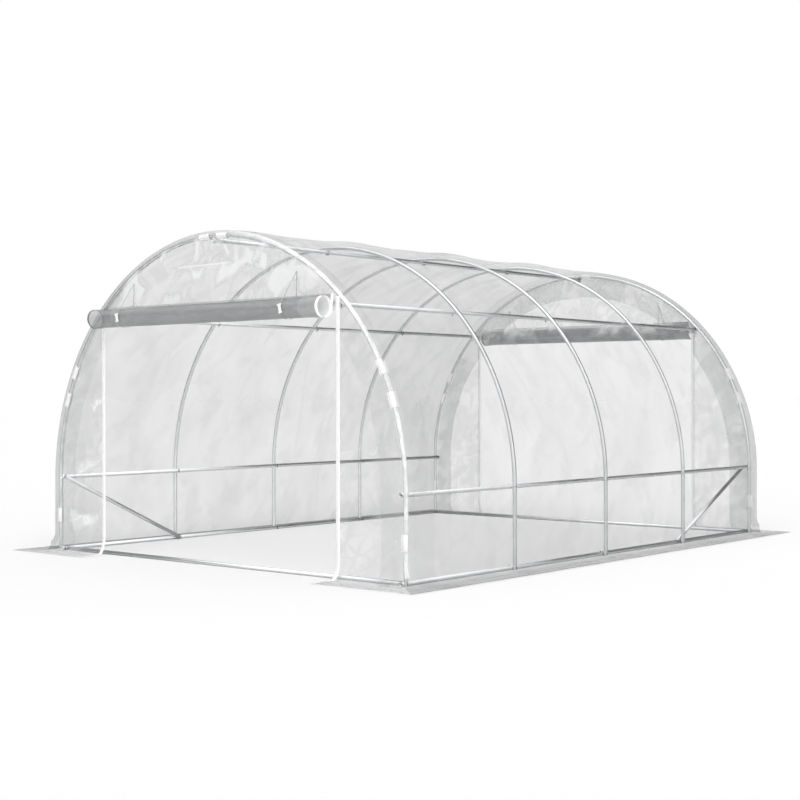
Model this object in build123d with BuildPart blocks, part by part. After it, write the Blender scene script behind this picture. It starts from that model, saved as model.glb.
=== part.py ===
"""Walk-in polytunnel greenhouse: five steel hoops under a fitted clear film cover.

Millimetres. X runs across the tunnel, Y along it from the front end to the back end, Z up.
The origin is on the ground, in the middle of the plan.
"""

import os
from math import acos, atan2, cos, degrees, hypot, radians

from build123d import *

os.makedirs("parts", exist_ok=True)

# Frame
SPAN = 3000.0  # between the two leg centres of a hoop
LEG_HEIGHT = 490.0  # ground to the spring line of the arch
BAY = 1000.0  # from hoop to hoop
BAYS = 4
TUBE_R = 12.5
TUBE_WALL = 0.7
HOOP_SIDES = 8  # flats of the rolled hoop tube
RAIL_SIDES = 12  # flats of the straight tubes
RAIL_GAP = 0.1  # between a rail's flat and the hoop it is bolted to
PURLIN_ANGLE = 45.0  # side purlins, above the spring line

# Film cover: its thickness here stands in for a film of 0.15 to 0.2 mm
FILM = 2.0
FILM_CLEARANCE = 0.5  # between a tube and the film on it
END_GAP = 6.5  # between an end hoop and its end wall
NOTCH_HALF = 19.0  # the film is cut away this far each way from a clipped hoop's centre
SEAM_HEIGHT = 180.0  # walls above, skirt below
COVE_R = 85.0  # the skirt's curve from wall to ground
SKIRT_REACH = 217.0  # from the wall's inner face to the skirt's edge
BAND_WIDTH = 170.0  # double layer round each end wall
BAND_GAP = 4.0  # between it and the clips

# Doorways
DOOR_HALF = 1025.0
GABLE_BOTTOM = 1500.0
ZIP_WIDTH = 34.0
ZIP_TOP = 1580.0
ROLL_R = 62.0
ROLL_HALF = 1000.0
ROLL_HEIGHT = 1520.0
ROLL_OFFSET = 74.0  # roll's centre outside the end wall
TIE_X = 715.0
TIE_TOP = 1735.0
TIE_WIDTH = 8.0
TIE_THICKNESS = 2.0
TIE_SIDES = 12  # flats of a tie's loop round the roll
TOGGLE_WIDTH = 32.0
TOGGLE_THICKNESS = 5.0
TOGGLE_SWEEP = 44.0  # degrees round the roll

# Snap clips over the end hoops
CLIP_BORE = 15.0
CLIP_R = 17.5
CLIP_LENGTH = 88.0
CLIP_MOUTH_DEPTH = 8.0  # the C stops this far past the tube's centre
CLIP_SIDES = 8
CLIP_ANGLES = (20.0, 27.5, 87.1)  # above the spring line, on each side
CLIP_LEG_HEIGHT = 235.0
CLIP_MARGIN = 3.0  # between a clip's ends and the film

# Worked out from the above
ARCH_R = SPAN / 2
HALF_LENGTH = BAY * BAYS / 2
RAIL_INSET = ARCH_R - 2 * TUBE_R - RAIL_GAP  # rails and purlins lie inside the hoops
HOOP_YS = [BAY * i - HALF_LENGTH for i in range(BAYS + 1)]
FILM_IN = ARCH_R + TUBE_R + FILM_CLEARANCE
FILM_OUT = FILM_IN + FILM
END_IN = HALF_LENGTH + TUBE_R + END_GAP
SIDES = {"left": -1, "right": 1}
ENDS = {"front": -1, "back": 1}
ARCH_CLIPS = sorted([*CLIP_ANGLES, *(180 - angle for angle in CLIP_ANGLES)])
CLIP_SWEEP = degrees(CLIP_LENGTH / ARCH_R)


def save(piece, name):
    """Label a finished piece and write it to its own STEP file."""
    piece.part.label = name
    export_step(piece.part, f"parts/{name}.step")


def tube_outline(radius, sides, turn=0, mode=Mode.ADD):
    """Tube outline in the open sketch, measured across its flats, one flat facing turn."""
    RegularPolygon(radius, sides, major_radius=False, rotation=turn + 180 / sides, mode=mode)


def tube_between(name, start, end, turn=0):
    """Straight steel tube from one end centre to the other, one flat turned about its axis."""
    axis = Vector(*end) - Vector(*start)
    with BuildPart() as tube:
        with BuildSketch(Plane(origin=start, x_dir=axis.cross(Vector(0, 0, 1)), z_dir=axis)):
            tube_outline(TUBE_R, RAIL_SIDES, turn)
            tube_outline(TUBE_R - TUBE_WALL, RAIL_SIDES, turn, mode=Mode.SUBTRACT)
        extrude(amount=axis.length)
    save(tube, name)


def arch_axis(y):
    """Axis of an arch; a turn about it raises a section from the right spring line."""
    return Axis((0, y, LEG_HEIGHT), (0, -1, 0))


def radial_plane(y, angle):
    """Plane square to the arch at an angle above the right spring line, local +X outwards."""
    outwards = Vector(1, 0, 0).rotate(Axis.Y, -angle)
    along = Vector(0, 0, 1).rotate(Axis.Y, -angle)
    origin = Vector(0, y, LEG_HEIGHT) + outwards * ARCH_R
    return Plane(origin=origin, x_dir=outwards, z_dir=along)


# Hoops: an arch in one piece, standing on two legs
for number, hoop_y in enumerate(HOOP_YS, start=1):
    with BuildPart() as hoop:
        with BuildSketch(radial_plane(hoop_y, 0)):
            tube_outline(TUBE_R, HOOP_SIDES)
        revolve(axis=arch_axis(hoop_y), revolution_arc=180)
    save(hoop, f"hoop_{number}")

for side, sx in SIDES.items():
    with BuildPart() as legs:
        with BuildSketch():
            with Locations(*[(sx * ARCH_R, y) for y in HOOP_YS]):
                tube_outline(TUBE_R, HOOP_SIDES)
        extrude(amount=LEG_HEIGHT)
    save(legs, f"{side}_hoop_legs")

# Purlins, side rails and base rails, all bolted inside the hoops
purlin_end = HALF_LENGTH + TUBE_R
purlin_offset = Vector(RAIL_INSET, 0, 0).rotate(Axis.Y, -PURLIN_ANGLE)
tube_between(
    "ridge_purlin",
    (0, -purlin_end, LEG_HEIGHT + RAIL_INSET),
    (0, purlin_end, LEG_HEIGHT + RAIL_INSET),
)
for side, sx in SIDES.items():
    for rail, x, z, turn in (
        ("purlin", purlin_offset.X, LEG_HEIGHT + purlin_offset.Z, PURLIN_ANGLE),
        ("lower_rail", RAIL_INSET, LEG_HEIGHT, 0),
        ("base_rail", RAIL_INSET, TUBE_R, 0),
    ):
        tube_between(f"{side}_{rail}", (sx * x, -purlin_end, z), (sx * x, purlin_end, z), turn)

for end, sy in ENDS.items():
    y = sy * (HALF_LENGTH - 2 * TUBE_R)
    reach = RAIL_INSET - TUBE_R
    tube_between(f"{end}_base_rail", (-reach, y, TUBE_R), (reach, y, TUBE_R))

# Braces: one at the front left corner and one at the back right, from the end hoop's
# spring line down to the foot of the next hoop
brace_x = RAIL_INSET - 2 * TUBE_R
for name, sx, sy in (("front_left_brace", -1, -1), ("back_right_brace", 1, 1)):
    top = (sx * brace_x, sy * HALF_LENGTH, LEG_HEIGHT)
    foot = (sx * brace_x, sy * (HALF_LENGTH - BAY), TUBE_R)
    tube_between(name, top, foot)

# Roof and side film, cut away at its ends where the clips grip the end hoops
half_gap = CLIP_SWEEP / 2 + degrees(CLIP_MARGIN / ARCH_R)
with BuildPart() as roof:
    with BuildSketch(Plane.XY.offset(LEG_HEIGHT)):
        with Locations(((FILM_IN + FILM_OUT) / 2, 0)):
            Rectangle(FILM, 2 * END_IN)
    revolve(axis=arch_axis(0), revolution_arc=180)
    for hoop_y in (HOOP_YS[0], HOOP_YS[-1]):
        for angle in ARCH_CLIPS:
            with BuildSketch(radial_plane(hoop_y, angle - half_gap)):
                with Locations((FILM_IN - ARCH_R, 0)):
                    Rectangle(4 * FILM, 2 * NOTCH_HALF)
            revolve(axis=arch_axis(hoop_y), revolution_arc=2 * half_gap, mode=Mode.SUBTRACT)
save(roof, "roof_film")

notch_height = CLIP_LENGTH + 2 * CLIP_MARGIN
for side, sx in SIDES.items():
    with BuildPart() as side_film:
        with BuildSketch(Plane.XY.offset(SEAM_HEIGHT)):
            with Locations((sx * (FILM_IN + FILM_OUT) / 2, 0)):
                Rectangle(FILM, 2 * END_IN)
        extrude(amount=LEG_HEIGHT - SEAM_HEIGHT)
        with BuildSketch(Plane.XY.offset(CLIP_LEG_HEIGHT - notch_height / 2)):
            with Locations((sx * FILM_IN, HOOP_YS[0]), (sx * FILM_IN, HOOP_YS[-1])):
                Rectangle(4 * FILM, 2 * NOTCH_HALF)
        extrude(amount=notch_height, mode=Mode.SUBTRACT)
    save(side_film, f"{side}_side_film")


def layer_outline(inner, outer, top):
    """One layer of film coming down a wall and curving out along the ground.

    inner and outer are the layer's faces, measured from the wall's inner face; local X is
    outwards and local Y is up.
    """
    centre = FILM + COVE_R
    Line((inner, top), (outer, top))
    Line((outer, top), (outer, centre))
    CenterArc((centre, centre), centre - outer, 180, 90)
    Line((centre, outer), (SKIRT_REACH, outer))
    Line((SKIRT_REACH, outer), (SKIRT_REACH, inner))
    Line((SKIRT_REACH, inner), (centre, inner))
    CenterArc((centre, centre), centre - inner, 270, -90)
    Line((inner, centre), (inner, top))


def mitre_plane(sx, sy):
    """Upright plane along the mitre between the two skirts that meet at a corner."""
    return Plane(origin=(sx * FILM_IN, sy * END_IN, 0), z_dir=(sx, -sy, 0))


# Skirts: the film's lower edge spreads over the ground, mitred at the corners
for side, sx in SIDES.items():
    with BuildPart() as skirt:
        with BuildSketch(Plane(origin=(sx * FILM_IN, 0, 0), x_dir=(sx, 0, 0), z_dir=(0, -sx, 0))):
            with BuildLine():
                layer_outline(0, FILM, SEAM_HEIGHT)
            make_face()
        extrude(amount=END_IN + SKIRT_REACH, both=True)
        for sy in ENDS.values():
            split(bisect_by=mitre_plane(sx, sy), keep=Keep.TOP)
    save(skirt, f"{side}_skirt")

for end, sy in ENDS.items():
    for side, sx in SIDES.items():
        start = Plane(origin=(sx * DOOR_HALF, sy * END_IN, 0), x_dir=(0, sy, 0), z_dir=(sy, 0, 0))
        with BuildPart() as skirt:
            with BuildSketch(start):
                with BuildLine():
                    layer_outline(0, FILM, SEAM_HEIGHT)
                make_face()
            extrude(amount=sx * sy * (FILM_IN + SKIRT_REACH - DOOR_HALF))
            split(bisect_by=mitre_plane(sx, sy), keep=Keep.BOTTOM)
        save(skirt, f"{end}_skirt_{side}")


def end_plane(sy, distance):
    """Upright plane across the tunnel, facing out of the end sy, distance from the middle."""
    return Plane(origin=(0, sy * distance, 0), x_dir=(-sy, 0, 0), z_dir=(0, sy, 0))


def arch_outline(radius):
    """Lines round the tunnel's cross-section, from the skirt's seam up."""
    Line((radius, SEAM_HEIGHT), (radius, LEG_HEIGHT))
    CenterArc((0, LEG_HEIGHT), radius, 0, 180)
    Line((-radius, LEG_HEIGHT), (-radius, SEAM_HEIGHT))
    Line((-radius, SEAM_HEIGHT), (radius, SEAM_HEIGHT))


# End walls: a panel beside the doorway on each side, the gable above it, and a band of
# double film inside them that follows the hoop
band_out = ARCH_R - CLIP_R - BAND_GAP
for end, sy in ENDS.items():
    for side, sx in SIDES.items():
        with BuildPart() as panel:
            with BuildSketch(end_plane(sy, END_IN)):
                with BuildLine():
                    arch_outline(FILM_OUT)
                make_face()
                outwards = -sy * sx
                with Locations((outwards * DOOR_HALF, 0)):
                    beyond = (Align.MIN if outwards > 0 else Align.MAX, Align.MIN)
                    Rectangle(SPAN, SPAN, align=beyond, mode=Mode.INTERSECT)
            extrude(amount=FILM)
        save(panel, f"{end}_film_{side}")

    with BuildPart() as gable:
        with BuildSketch(end_plane(sy, END_IN)):
            with BuildLine():
                arch_outline(FILM_OUT)
            make_face()
            with Locations((0, GABLE_BOTTOM)):
                above = (Align.CENTER, Align.MIN)
                Rectangle(2 * DOOR_HALF, SPAN, align=above, mode=Mode.INTERSECT)
        extrude(amount=FILM)
    save(gable, f"{end}_film_gable")

    with BuildPart() as band:
        with BuildSketch(end_plane(sy, END_IN - FILM)):
            with BuildLine():
                arch_outline(band_out)
            make_face()
            with BuildLine():
                arch_outline(band_out - BAND_WIDTH)
            make_face(mode=Mode.SUBTRACT)
            below = (Align.CENTER, Align.MIN)
            Rectangle(2 * DOOR_HALF, GABLE_BOTTOM, align=below, mode=Mode.SUBTRACT)
        extrude(amount=FILM)
    save(band, f"{end}_edge_band")

# Zips down both edges of each doorway, following the film out over the skirt
for end, sy in ENDS.items():
    with BuildPart() as zips:
        for sx in SIDES.values():
            centre = Plane(origin=(sx * DOOR_HALF, sy * END_IN, 0), x_dir=(0, sy, 0), z_dir=(sy, 0, 0))
            with BuildSketch(centre):
                with BuildLine():
                    layer_outline(FILM, 2 * FILM, ZIP_TOP)
                make_face()
            extrude(amount=ZIP_WIDTH / 2, both=True)
    save(zips, f"{end}_zips")


roll_centre = (FILM + ROLL_OFFSET, ROLL_HEIGHT)  # in a plane square to the roll, from END_IN


def tie_loop(radius):
    """Outline of a cord round the roll and up to the gable; local X is out of the end wall.

    radius is to the middle of the flats that stand for the cord's round.
    """
    top = (FILM + FILM_CLEARANCE, TIE_TOP)
    across, up = top[0] - roll_centre[0], top[1] - roll_centre[1]
    spread = degrees(acos(radius / hypot(across, up)))
    to_top = degrees(atan2(up, across))
    step = (360 - 2 * spread) / TIE_SIDES
    corners = radius / cos(radians(step / 2))
    turns = [to_top + spread + step * i for i in range(TIE_SIDES + 1)]
    wrap = [Vector(*roll_centre) + Vector(corners, 0).rotate(Axis.Z, turn) for turn in turns]
    Polyline(*wrap, top, close=True)


def toggle_outline(radius):
    """Outline of a toggle lying on the front of the roll's cord."""
    inner = CenterArc(roll_centre, radius, -TOGGLE_SWEEP / 2, TOGGLE_SWEEP)
    outer = CenterArc(roll_centre, radius + TOGGLE_THICKNESS, -TOGGLE_SWEEP / 2, TOGGLE_SWEEP)
    Line(inner @ 0, outer @ 0)
    Line(inner @ 1, outer @ 1)


# Doors, each rolled up above its doorway and held by two ties with toggles
for end, sy in ENDS.items():
    with BuildPart() as roll:
        with BuildSketch(Plane(origin=(0, sy * END_IN, 0), x_dir=(0, sy, 0), z_dir=(sy, 0, 0))):
            with Locations(roll_centre):
                Circle(ROLL_R)
        extrude(amount=ROLL_HALF, both=True)
    save(roll, f"{end}_door_roll")

    with BuildPart() as ties:
        for sx in SIDES.values():
            centre = Plane(origin=(sx * TIE_X, sy * END_IN, 0), x_dir=(0, sy, 0), z_dir=(sy, 0, 0))
            with BuildSketch(centre):
                with BuildLine():
                    tie_loop(ROLL_R + TIE_THICKNESS)
                make_face()
                inwards = FILM_CLEARANCE - TIE_THICKNESS
                offset(amount=inwards, kind=Kind.INTERSECTION, mode=Mode.SUBTRACT)
            extrude(amount=TIE_WIDTH / 2, both=True)
            with BuildSketch(centre):
                with BuildLine():
                    toggle_outline(ROLL_R + TIE_THICKNESS)
                make_face()
            extrude(amount=TOGGLE_WIDTH / 2, both=True)
    save(ties, f"{end}_roll_ties")


def clip_section():
    """C of a snap clip in the open sketch, its mouth facing the inside of the tunnel."""
    tube_outline(CLIP_R, CLIP_SIDES)
    tube_outline(CLIP_BORE, CLIP_SIDES, mode=Mode.SUBTRACT)
    with Locations((-CLIP_MOUTH_DEPTH, 0)):
        Rectangle(CLIP_R, 3 * CLIP_R, align=(Align.MAX, Align.CENTER), mode=Mode.SUBTRACT)


# Snap clips that hold the cover on the end hoops
for end, sy in ENDS.items():
    hoop_y = sy * HALF_LENGTH
    with BuildPart() as clips:
        for angle in ARCH_CLIPS:
            with BuildSketch(radial_plane(hoop_y, angle)):
                clip_section()
            extrude(amount=CLIP_LENGTH / 2, both=True)
        for sx in SIDES.values():
            middle = (sx * ARCH_R, hoop_y, CLIP_LEG_HEIGHT)
            with BuildSketch(Plane(origin=middle, x_dir=(sx, 0, 0), z_dir=(0, 0, 1))):
                clip_section()
            extrude(amount=CLIP_LENGTH / 2, both=True)
    save(clips, f"{end}_clips")
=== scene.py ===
"""Looks of a walk-in tunnel greenhouse, built round its packed frame. Metres, Z up."""

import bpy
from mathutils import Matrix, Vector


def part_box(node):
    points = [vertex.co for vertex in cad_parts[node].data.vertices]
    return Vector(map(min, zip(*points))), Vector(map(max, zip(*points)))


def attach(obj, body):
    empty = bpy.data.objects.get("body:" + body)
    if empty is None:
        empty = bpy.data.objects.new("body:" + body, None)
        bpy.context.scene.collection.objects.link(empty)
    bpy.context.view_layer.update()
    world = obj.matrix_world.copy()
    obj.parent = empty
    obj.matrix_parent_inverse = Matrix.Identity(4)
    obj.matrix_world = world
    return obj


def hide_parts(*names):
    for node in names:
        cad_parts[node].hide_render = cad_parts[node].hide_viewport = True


bl_info = {
    "name": "Tunnel Greenhouse",
    "version": (1, 0, 0),
    "blender": (4, 5, 0),
    "location": "3D View > Sidebar > Greenhouse",
    "description": "Film cover, steel tubes, zips, clips and rolled doors of a tunnel greenhouse",
    "category": "Object",
}

from math import acos, atan2, cos, degrees, hypot, pi, radians, sin, sqrt

import bmesh
import bpy
from bpy.props import FloatProperty, FloatVectorProperty, PointerProperty
from mathutils import Matrix, Vector, noise

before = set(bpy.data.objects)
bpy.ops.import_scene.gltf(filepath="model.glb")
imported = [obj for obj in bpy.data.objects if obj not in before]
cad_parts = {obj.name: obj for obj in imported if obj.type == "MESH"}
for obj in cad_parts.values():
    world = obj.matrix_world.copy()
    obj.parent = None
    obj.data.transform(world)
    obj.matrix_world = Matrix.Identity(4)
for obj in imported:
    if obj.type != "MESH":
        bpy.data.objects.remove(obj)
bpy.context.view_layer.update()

# What the packed frame says
HOOPS = [f"hoop_{n}" for n in range(1, 6)]
TUBE_R = (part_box("hoop_1")[1][1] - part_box("hoop_1")[0][1]) / 2
ARCH_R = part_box("hoop_1")[1][0] - TUBE_R
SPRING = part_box("hoop_1")[0][2]
HOOP_YS = [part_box(hoop)[0][1] + TUBE_R for hoop in HOOPS]
HALF_LENGTH = HOOP_YS[-1]
BAY = HOOP_YS[1] - HOOP_YS[0]
RAIL_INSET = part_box("right_lower_rail")[1][0] - TUBE_R
DOOR_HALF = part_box("front_film_gable")[1][0]
DOOR_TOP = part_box("front_film_gable")[0][2]
WALL_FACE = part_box("back_film_gable")[1][1]
RAIL_HEIGHT = (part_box("right_lower_rail")[0][2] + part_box("right_lower_rail")[1][2]) / 2
ZIP_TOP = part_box("front_zips")[1][2]
SKIRT_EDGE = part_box("right_skirt")[1][0]
ROLL_LOW, ROLL_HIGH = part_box("back_door_roll")
ROLL_R = (ROLL_HIGH[2] - ROLL_LOW[2]) / 2
ROLL_HEIGHT = (ROLL_HIGH[2] + ROLL_LOW[2]) / 2
ROLL_OUT = (ROLL_HIGH[1] + ROLL_LOW[1]) / 2
ROLL_HALF = ROLL_HIGH[0]
TIE_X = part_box("back_roll_ties")[1][0] - 0.016
TIE_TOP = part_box("back_roll_ties")[1][2]

# Tubes, in degrees above the right spring line
JOINT_ANGLES = (36, 72, 108, 144)
BOLT_ANGLES = (0, 45, 90, 135, 180)

# Clips: their middles in degrees above the spring line, on each side, and up each leg
CLIP_ANGLES = (20.0, 27.5, 87.1)
CLIP_LEG_HEIGHT = 0.235
CLIP_LENGTH = 0.088
CLIP_REACH = 0.019  # the film is cut away this far from a clipped hoop's centre line

# Film
GROUND_FILM = 0.0016  # height of the film's middle where it lies on the ground
WALL_GAP = 0.0045  # from the cover's edge out to an end wall's face
BAND_FLAT = (0.165, 5.3)  # second layer of film inside an end wall
BAND_INNER = ARCH_R - BAND_FLAT[0]
HEM_WIDTH = 0.021
STRIP_WIDTH = 0.072  # welded strip of the cover beside an end hoop
LAP_WIDTH = 0.214  # the cover's second layer inside that strip
ROLL_TAPE = 0.0225  # zip tape along a rolled door's right end

# Zips and straps: how far their layers stand off the film, and how thick they are
TAPE_LIFT = 0.0018
TEETH_LIFT = 0.0034
SLIDER_LIFT = 0.0055
TAPE_WALL = 0.0009
STRAP_WALL = 0.0012
GROUND_ZIP = 0.0018  # height of a zip's line where it lies on the ground

# Stage, with the camera's tilt in radians
FLOOR_RADIUS = 400.0
FLOOR_DROP = 0.0005
CAMERA_DIP = 0.0022
CAMERA_ROLL = 0.0017
BLACK = (0.0, 0.0, 0.0)

SIDES = {"left": -1, "right": 1}
ENDS = {"front": -1, "back": 1}


def size(name, about, default, low=0.0):
    """A length in metres that a user may change."""
    return FloatProperty(
        name=name,
        description=about,
        default=default,
        min=low,
        precision=4,
        subtype="DISTANCE",
        unit="LENGTH",
    )


def colour(name, about, default):
    """A colour that a user may change."""
    return FloatVectorProperty(
        name=name,
        description=about,
        default=default,
        min=0.0,
        max=1.0,
        subtype="COLOR",
    )


def share(name, about, default, high=1.0):
    """A number without a unit that a user may change."""
    return FloatProperty(name=name, description=about, default=default, min=0.0, max=high)


def turning(name, about, default):
    """An angle, given in degrees, that a user may change."""
    return FloatProperty(
        name=name,
        description=about,
        default=radians(default),
        subtype="ANGLE",
        unit="ROTATION",
    )


class TubeSettings(bpy.types.PropertyGroup):
    """Steel tubes, their joints and their bolts."""

    wall: size("Wall", "Wall thickness of every tube", 0.0012)
    joint_length: size("Joint length", "Length of the swaged joint in a hoop", 0.042)
    joint_step: size("Joint step", "How far a joint stands proud of its tube", 0.0008)
    bolt: size("Bolt", "Diameter of the bolts", 0.006)
    zinc: colour("Zinc", "Colour of the galvanised tubes", (0.80, 0.81, 0.82))
    steel: colour("Bolt steel", "Colour of the bolts and wing nuts", (0.30, 0.31, 0.32))


class FilmSettings(bpy.types.PropertyGroup):
    """Shape and finish of every sheet of film."""

    cell: size("Grid", "Distance between two points of a sheet", 0.018, 0.005)
    wrap: size("Wrap", "Distance from a hoop's centre to the film on it", 0.0137)
    lift: size("Lift", "How far the roof stands off the inner hoops at the ridge", 0.032)
    stand: size("Stand-off", "How far the cover stands off an end hoop's leg", 0.050)
    sag: size("Sag", "How far the roof sinks between two hoops", 0.016)
    bulge: size("Bulge", "How far the walls swell between two hoops", 0.016)
    crumple: size("Crumple", "Height of the folds", 0.006)
    flare_reach: size("Flare reach", "How far the wall curves out at the ground", 0.060)
    flare_height: size("Flare height", "Height at which the wall starts to curve", 0.12)
    tint: colour("Tint", "Colour of the film", (0.16, 0.165, 0.17))
    roll_tint: colour("Roll tint", "Colour of the film of a rolled door", (0.4, 0.405, 0.41))
    # White painted for the film's highlights, and for the painted light in a rolled door's bore.
    highlight_white: colour("Bloom", "Colour of the film where it is creased", (0.9, 0.905, 0.91))
    opacity: share("Opacity", "How much one layer of film hides", 0.222)
    end_tint: colour("End tint", "Colour of the film of the end walls", (0.2, 0.205, 0.21))
    end_opacity: share("End opacity", "How much the film of the end walls hides", 0.056)
    band_opacity: share("Front band opacity", "How much the front wall's second layer hides", 0.078)
    back_opacity: share("Back band opacity", "How much the back wall's second layer hides", 0.28)


class FittingSettings(bpy.types.PropertyGroup):
    """Zips, clips, ties and rolled doors."""

    tape: size("Zip tape", "Width of the zip tape", 0.030)
    tooth: size("Zip tooth", "Distance between two teeth of a zip", 0.006, 0.002)
    clip_wall: size("Clip wall", "Wall thickness of a snap clip", 0.0026)
    roll_bore: size("Roll bore", "Inner radius of a rolled door", 0.054)
    roll_turns: share("Roll turns", "Turns of film in a rolled door", 3.3, 20.0)
    strap: size("Strap", "Width of the straps round the rolled doors", 0.008)
    plastic: colour("Plastic", "Colour of the clips and toggles", (0.84, 0.84, 0.835))
    fabric: colour("Tape fabric", "Colour of the zip tapes", (0.93, 0.93, 0.93))


class StageSettings(bpy.types.PropertyGroup):
    """Floor, light and camera."""

    eye: FloatVectorProperty(
        name="Eye",
        description="Where the camera stands",
        default=(6.4746, -7.9608, 1.0192),
        subtype="TRANSLATION",
        unit="LENGTH",
    )
    turn: turning("Turn", "Camera's turn about the vertical", 40.07)
    lens: FloatProperty(
        name="Lens",
        description="Focal length on a 36 mm sensor",
        default=65.26,
        unit="CAMERA",
    )
    sky: share("Sky light", "Strength of the even light from all round", 0.35, 4.0)
    gloss: share("Reflected sky", "Strength of the surroundings that metal mirrors", 0.10, 4.0)
    key: share("Key light", "Strength of the soft lamp in front", 2.2, 10.0)
    top: share("Top light", "Strength of the soft lamp overhead", 1.2, 10.0)
    panel: share("Panel", "Strength of the wide panel in front that only metal mirrors", 4.4, 10.0)
    ceiling: share("Ceiling", "Strength of the panel overhead that only metal mirrors", 2.3, 10.0)
    spread: turning("Spread", "How wide the lamps look from the greenhouse", 90)
    panel_spread: turning("Panel spread", "How wide the front panel looks from there", 140)
    floor: share("Floor", "Colour of the floor", 0.8)
    lift: share("Floor lift", "What brings the floor up to white where the camera sees it", 0.13)


# Shader nodes


class Value:
    """A shader socket that takes part in Python arithmetic."""

    def __init__(self, finish, socket):
        self.finish = finish
        self.socket = socket

    def maths(self, operation, *values):
        """What one Math node makes of some values."""
        settings = {"operation": operation}
        return self.finish.node("ShaderNodeMath", settings, dict(enumerate(values)))

    def __add__(self, other):
        return self.maths("ADD", self, other)

    def __sub__(self, other):
        return self.maths("SUBTRACT", self, other)

    def __rsub__(self, other):
        return self.maths("SUBTRACT", other, self)

    def __mul__(self, other):
        return self.maths("MULTIPLY", self, other)

    def __truediv__(self, other):
        return self.maths("DIVIDE", self, other)

    def __pow__(self, other):
        return self.maths("POWER", self, other)

    def __abs__(self):
        return self.maths("ABSOLUTE", self)

    def most(self, other):
        """The larger of the two."""
        return self.maths("MAXIMUM", self, other)

    def wrap(self, period):
        """What is left over after whole periods."""
        return self.maths("FLOORED_MODULO", self, period)

    def step(self, low, high):
        """0 below low, 1 above high, and smooth between them."""
        settings = {"interpolation_type": "SMOOTHSTEP"}
        inputs = {"Value": self, "From Min": low, "From Max": high}
        return self.finish.node("ShaderNodeMapRange", settings, inputs)

    __radd__ = __add__
    __rmul__ = __mul__


class Finish:
    """One procedural material, or the world, while its nodes are being made."""

    def __init__(self, name, owner=None):
        self.owner = owner or bpy.data.materials.new(name)
        self.owner.use_nodes = True
        self.owner.node_tree.nodes.clear()

    def node(self, kind, settings, inputs, outlet=0):
        """Makes a node, its settings first and then its sockets, and gives one outlet if any."""
        made = self.owner.node_tree.nodes.new(kind)
        for key, setting in settings.items():
            setattr(made, key, setting)
        for key, value in inputs.items():
            if isinstance(value, Value):
                self.owner.node_tree.links.new(value.socket, made.inputs[key])
            else:
                made.inputs[key].default_value = value
        return Value(self, made.outputs[outlet]) if made.outputs else None

    def place(self, axis=None):
        """Object coordinates, or one of them."""
        where = self.node("ShaderNodeTexCoord", {}, {}, "Object")
        if axis is None:
            return where
        return self.node("ShaderNodeSeparateXYZ", {}, {0: where}, axis)

    def crease(self):
        """The crease layer of a mesh, from 0 to 1: where the film's finish paints its highlights,
        and where a rolled door's finish paints light in its bore.
        """
        return self.node("ShaderNodeAttribute", {"attribute_name": "crease"}, {}, "Fac")

    def turned(self, angles, scale):
        """Object coordinates turned, then stretched."""
        turn = self.node(
            "ShaderNodeVectorRotate",
            {"rotation_type": "EULER_XYZ"},
            {"Vector": self.place(), "Rotation": angles},
        )
        return self.node("ShaderNodeVectorMath", {"operation": "MULTIPLY"}, {0: turn, 1: scale})

    def noise(self, vector, scale, detail=3.0, rough=0.5, bend=0.0):
        """Smooth noise from 0 to 1."""
        inputs = {
            "Vector": vector,
            "Scale": scale,
            "Detail": detail,
            "Roughness": rough,
            "Distortion": bend,
        }
        return self.node("ShaderNodeTexNoise", {"noise_dimensions": "3D"}, inputs, 0)

    def crumple(self, scale, width):
        """Facets of creased film: a number from 0 to 1 for each, and lines along their edges."""
        drift = self.node("ShaderNodeTexNoise", {}, {"Vector": self.place(), "Scale": 1.7}, "Color")
        moved = {0: drift, 1: (0.45, 0.45, 0.45), 2: self.place()}
        bent = self.node("ShaderNodeVectorMath", {"operation": "MULTIPLY_ADD"}, moved)
        inputs = {"Vector": bent, "Scale": scale}
        tint = self.node("ShaderNodeTexVoronoi", {"feature": "F1"}, inputs, "Color")
        facet = self.node("ShaderNodeSeparateColor", {}, {0: tint}, 0)
        gap = self.node("ShaderNodeTexVoronoi", {"feature": "DISTANCE_TO_EDGE"}, inputs, "Distance")
        return facet, 1 - gap.step(0.0, width)

    def ridges(self, vector, scale, width, bend=0.6):
        """Thin lines where smooth noise crosses its middle."""
        return 1 - abs(self.noise(vector, scale, 2.0, 0.5, bend) - 0.5).step(0.0, width)

    def mix(self, mask, first, second):
        """First colour where the mask is 0, second where it is 1."""
        first = (*first, 1.0) if isinstance(first, tuple) else first
        second = (*second, 1.0) if isinstance(second, tuple) else second
        settings = {"data_type": "RGBA", "blend_type": "MIX"}
        return self.node("ShaderNodeMix", settings, {0: mask, 6: first, 7: second}, 2)

    def bump(self, height, distance):
        """Normal from a height."""
        inputs = {"Height": height, "Distance": distance, "Strength": 1.0}
        return self.node("ShaderNodeBump", {}, inputs)

    def surface(self, glow=None, **sockets):
        """Ends the material in a Principled surface, sockets named with _ for a space.

        glow is the colour of a painted glow: light that the surface gives off by itself, though it
        is no lamp.
        """
        names = {key.replace("_", " "): value for key, value in sockets.items()}
        if glow:
            names.update({"Emission Color": glow, "Emission Strength": 1.0})
        shader = self.node("ShaderNodeBsdfPrincipled", {}, names)
        self.node("ShaderNodeOutputMaterial", {}, {"Surface": shader})
        return self.owner


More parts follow.
